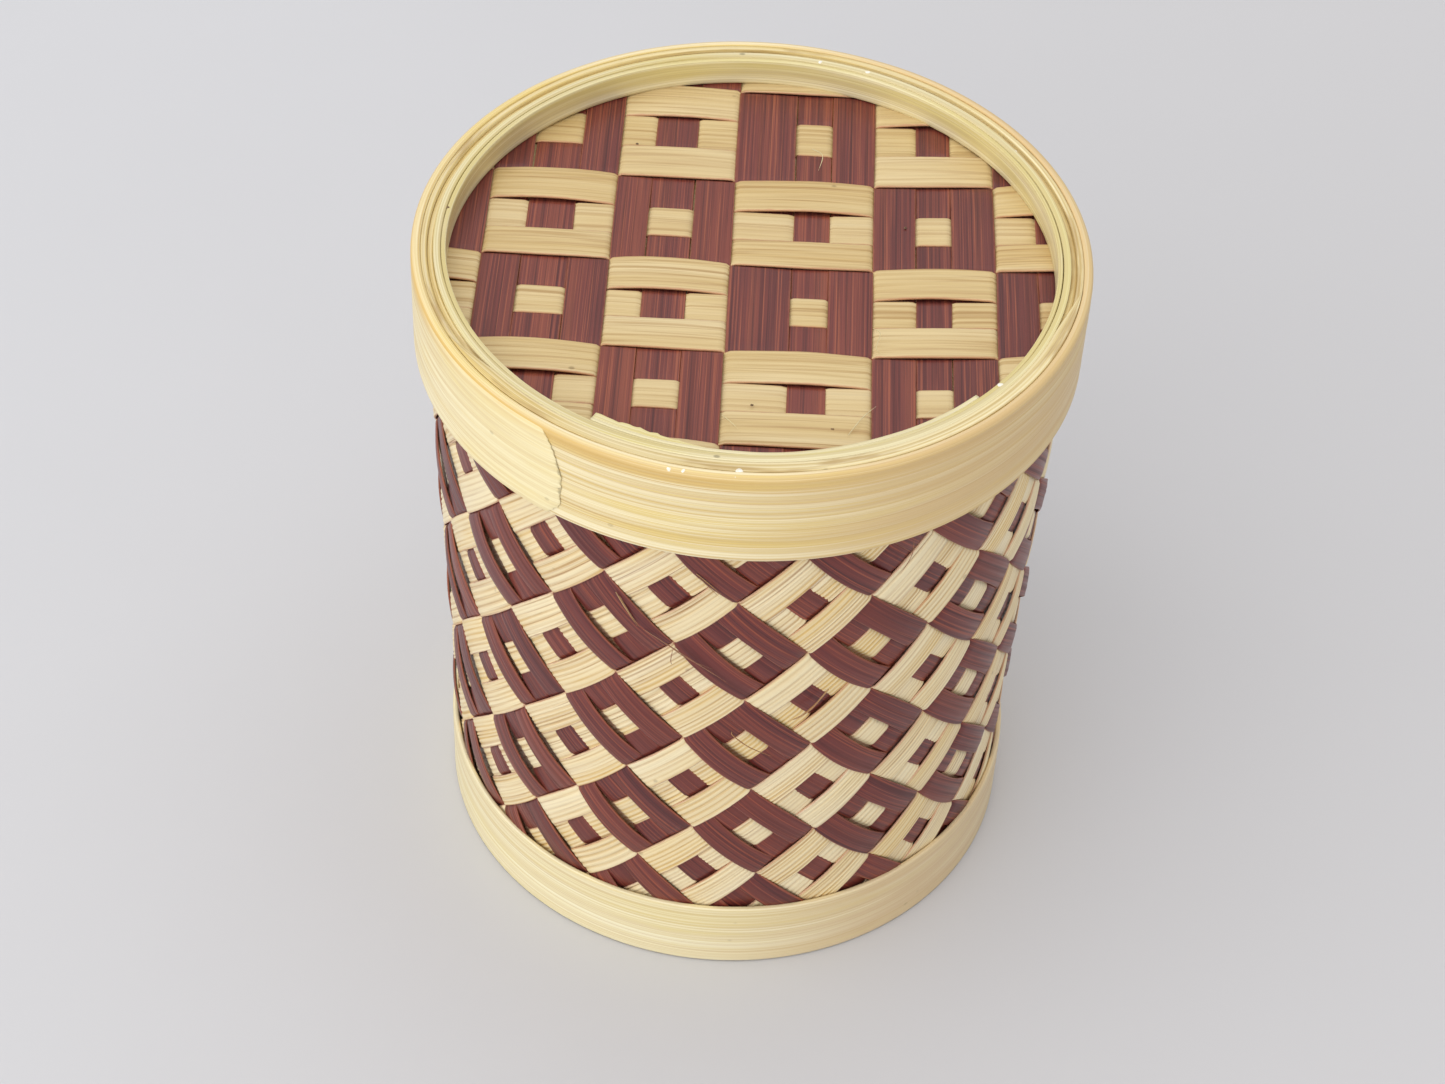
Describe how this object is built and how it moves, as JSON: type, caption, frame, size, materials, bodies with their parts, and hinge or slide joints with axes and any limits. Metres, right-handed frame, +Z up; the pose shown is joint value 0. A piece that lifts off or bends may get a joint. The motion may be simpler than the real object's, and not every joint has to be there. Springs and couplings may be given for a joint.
{
  "type": "tea caddy",
  "caption": "Round tea caddy of woven bamboo: tapered body in slanting dark and light strips, bent hoops at foot and rim, and a lift-off lid with a sunk woven panel.",
  "frame": {"origin": "centre of the foot band's lower edge, on the table", "axes": "+Z up along the caddy's axis, -Y towards the front"},
  "size_m": [0.11, 0.11, 0.123],
  "materials": {
    "band_bamboo": "satin pale bamboo",
    "hoop_bamboo": "satin pale bamboo, cut edges",
    "dark_strip": "dyed dark brown bamboo, satin",
    "light_strip": "natural straw-coloured bamboo, satin",
    "liner_bamboo": "plain bamboo sheet, matt"
  },
  "bodies": {
    "caddy_body": {"base_inner_hoop": "hoop_bamboo", "base_outer_band": "band_bamboo", "base_support_hoop": "hoop_bamboo", "body_dark_strips_a": "dark_strip", "body_dark_strips_b": "dark_strip", "body_dark_strips_c": "dark_strip", "body_light_strips_a": "light_strip", "body_light_strips_b": "light_strip", "body_light_strips_c": "light_strip", "body_liner": "liner_bamboo", "bottom_dark_strips": "dark_strip", "bottom_light_strips": "light_strip", "bottom_lining_disc": "liner_bamboo", "neck_inner_hoop": "hoop_bamboo", "neck_outer_hoop": "hoop_bamboo"},
    "lid": {"lid_core_hoop_inner": "hoop_bamboo", "lid_core_hoop_outer": "hoop_bamboo", "lid_inner_hoop": "hoop_bamboo", "lid_lining_disc": "liner_bamboo", "lid_outer_band": "band_bamboo", "lid_panel_dark_strip_01": "dark_strip", "lid_panel_dark_strip_02": "dark_strip", "lid_panel_dark_strip_03": "dark_strip", "lid_panel_dark_strip_04": "dark_strip", "lid_panel_dark_strip_05": "dark_strip", "lid_panel_dark_strip_06": "dark_strip", "lid_panel_dark_strip_07": "dark_strip", "lid_panel_dark_strip_08": "dark_strip", "lid_panel_dark_strip_09": "dark_strip", "lid_panel_dark_strip_10": "dark_strip", "lid_panel_dark_strip_11": "dark_strip", "lid_panel_dark_strip_12": "dark_strip", "lid_panel_dark_strip_13": "dark_strip", "lid_panel_dark_strip_14": "dark_strip", "lid_panel_dark_strip_15": "dark_strip", "lid_panel_light_strip_01": "light_strip", "lid_panel_light_strip_02": "light_strip", "lid_panel_light_strip_03": "light_strip", "lid_panel_light_strip_04": "light_strip", "lid_panel_light_strip_05": "light_strip", "lid_panel_light_strip_06": "light_strip", "lid_panel_light_strip_07": "light_strip", "lid_panel_light_strip_08": "light_strip", "lid_panel_light_strip_09": "light_strip", "lid_panel_light_strip_10": "light_strip", "lid_panel_light_strip_11": "light_strip", "lid_panel_light_strip_12": "light_strip", "lid_panel_light_strip_13": "light_strip", "lid_panel_light_strip_14": "light_strip", "lid_support_hoop": "hoop_bamboo"}
  },
  "joints": [
    {"name": "lid_lift", "type": "slide", "parent": "caddy_body", "child": "lid", "axis": [0, 0, 1], "range_m": [0, 0.06]}
  ]
}
